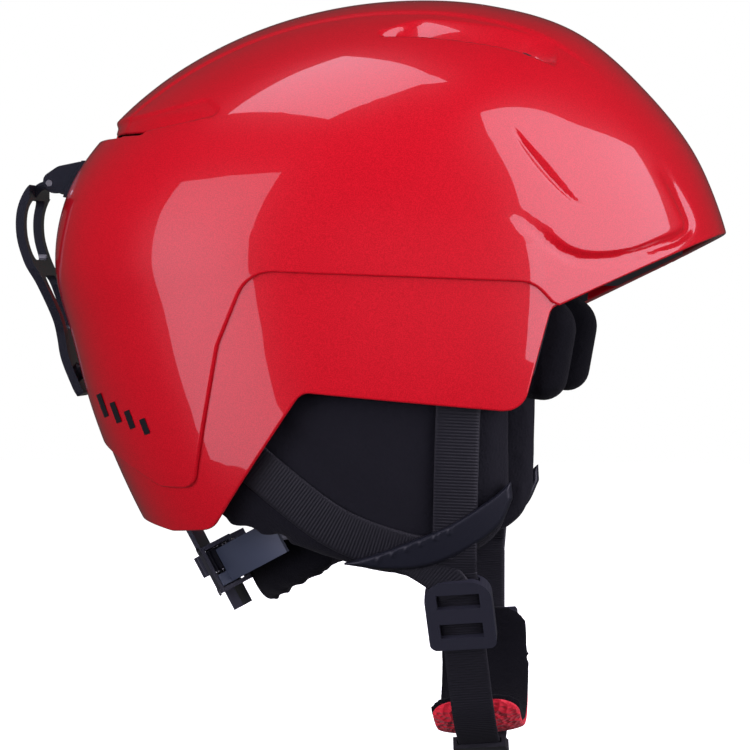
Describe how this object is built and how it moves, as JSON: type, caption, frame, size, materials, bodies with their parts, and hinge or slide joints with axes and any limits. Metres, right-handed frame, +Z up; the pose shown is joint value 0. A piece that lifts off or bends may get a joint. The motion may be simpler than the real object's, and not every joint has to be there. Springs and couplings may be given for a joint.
{
  "type": "ski helmet",
  "caption": "Junior hard-shell ski helmet with foam liner, ear pads, webbing Y-straps, ratchet chin buckle, goggle clip and thumbwheel nape cradle.",
  "frame": {"origin": "centre of the wearer's head, midway between the side walls, which is where the head mount sits", "axes": "+X to the front of the helmet, +Y to the wearer's left, +Z up out of the crown"},
  "size_m": [0.2712, 0.2, 0.2889],
  "materials": {
    "shell": "gloss",
    "badge": "satin",
    "foam": "matte",
    "fleece": "matte",
    "twill": "matte",
    "trim": "satin",
    "webbing": "matte",
    "clip": "satin",
    "plastic": "satin",
    "belt": "satin",
    "lever": "satin",
    "mesh": "matte",
    "steel": "satin"
  },
  "bodies": {
    "helmet": {"shell": "shell", "rear_badge": "badge", "eps_liner": "foam", "brow_pad": "fleece", "temple_pads": "fleece", "crown_pad": "fleece", "side_pads": "fleece", "occiput_pad": "fleece", "ear_pad_right": "twill", "ear_pad_left": "twill", "ear_trim_right": "trim", "ear_trim_left": "trim", "front_strap_right": "webbing", "front_strap_left": "webbing", "rear_strap_right": "webbing", "rear_strap_left": "webbing", "strap_anchors": "plastic", "ear_pad_studs": "plastic", "clip_bracket": "plastic", "clip_pin": "steel", "snap_stud": "plastic", "chin_strap_left": "webbing", "buckle_housing": "plastic", "lever_pin": "steel", "lever_spring": "steel", "chin_pad": "fleece", "chin_pad_mesh": "mesh"},
    "clip": {"goggle_clip": "clip"},
    "right_strap": {"chin_strap_right": "webbing", "strap_keeper": "webbing", "buckle_tongue": "plastic"},
    "slider": {"strap_slider": "plastic"},
    "lever": {"release_lever": "lever"},
    "nape": {"nape_yoke": "plastic", "yoke_cover": "plastic", "cover_screws": "steel", "wheel_axle": "steel", "neck_pad": "fleece"},
    "wheel": {"fit_wheel": "trim", "drive_pinion": "plastic"},
    "left_belt": {"fit_belt_left": "belt"},
    "right_belt": {"fit_belt_right": "belt"}
  },
  "joints": [
    {"name": "clip_hinge", "type": "hinge", "parent": "helmet", "child": "clip", "pos_m": [-0.1135, 0, 0.0315], "axis": [0, 1, 0], "range_deg": [0, 50]},
    {"name": "strap_swing", "type": "hinge", "parent": "helmet", "child": "right_strap", "pos_m": [0.0485, -0.067, -0.113], "axis": [-0.9976, 0, -0.0698], "range_deg": [0, 35]},
    {"name": "slider_slide", "type": "slide", "parent": "right_strap", "child": "slider", "axis": [0.0601, 0.5077, -0.8594], "range_m": [0, 0.012]},
    {"name": "lever_hinge", "type": "hinge", "parent": "helmet", "child": "lever", "pos_m": [0.05055, 0.04978, -0.14226], "axis": [0.9976, 0, 0.0698], "range_deg": [0, 22], "stiffness_Nm_per_rad": 0.03},
    {"name": "nape_height", "type": "slide", "parent": "helmet", "child": "nape", "axis": [-0.4695, 0, 0.8829], "range_m": [-0.007, 0.006]},
    {"name": "fit_wheel_turn", "type": "hinge", "parent": "nape", "child": "wheel", "pos_m": [-0.04963, 0, -0.11126], "axis": [-0.4695, 0, 0.8829], "range_deg": [-140, 140]},
    {"name": "left_belt_pull", "type": "hinge", "parent": "nape", "child": "left_belt", "pos_m": [0.0007, 0, -0.0845], "axis": [-0.4695, 0, 0.8829], "range_deg": [-8, 8]},
    {"name": "right_belt_pull", "type": "hinge", "parent": "nape", "child": "right_belt", "pos_m": [0.0007, 0, -0.0845], "axis": [-0.4695, 0, 0.8829], "range_deg": [-8, 8]}
  ],
  "couplings": [
    {"joint": "left_belt_pull", "follows": "fit_wheel_turn", "ratio": -0.055556},
    {"joint": "right_belt_pull", "follows": "fit_wheel_turn", "ratio": 0.05}
  ]
}
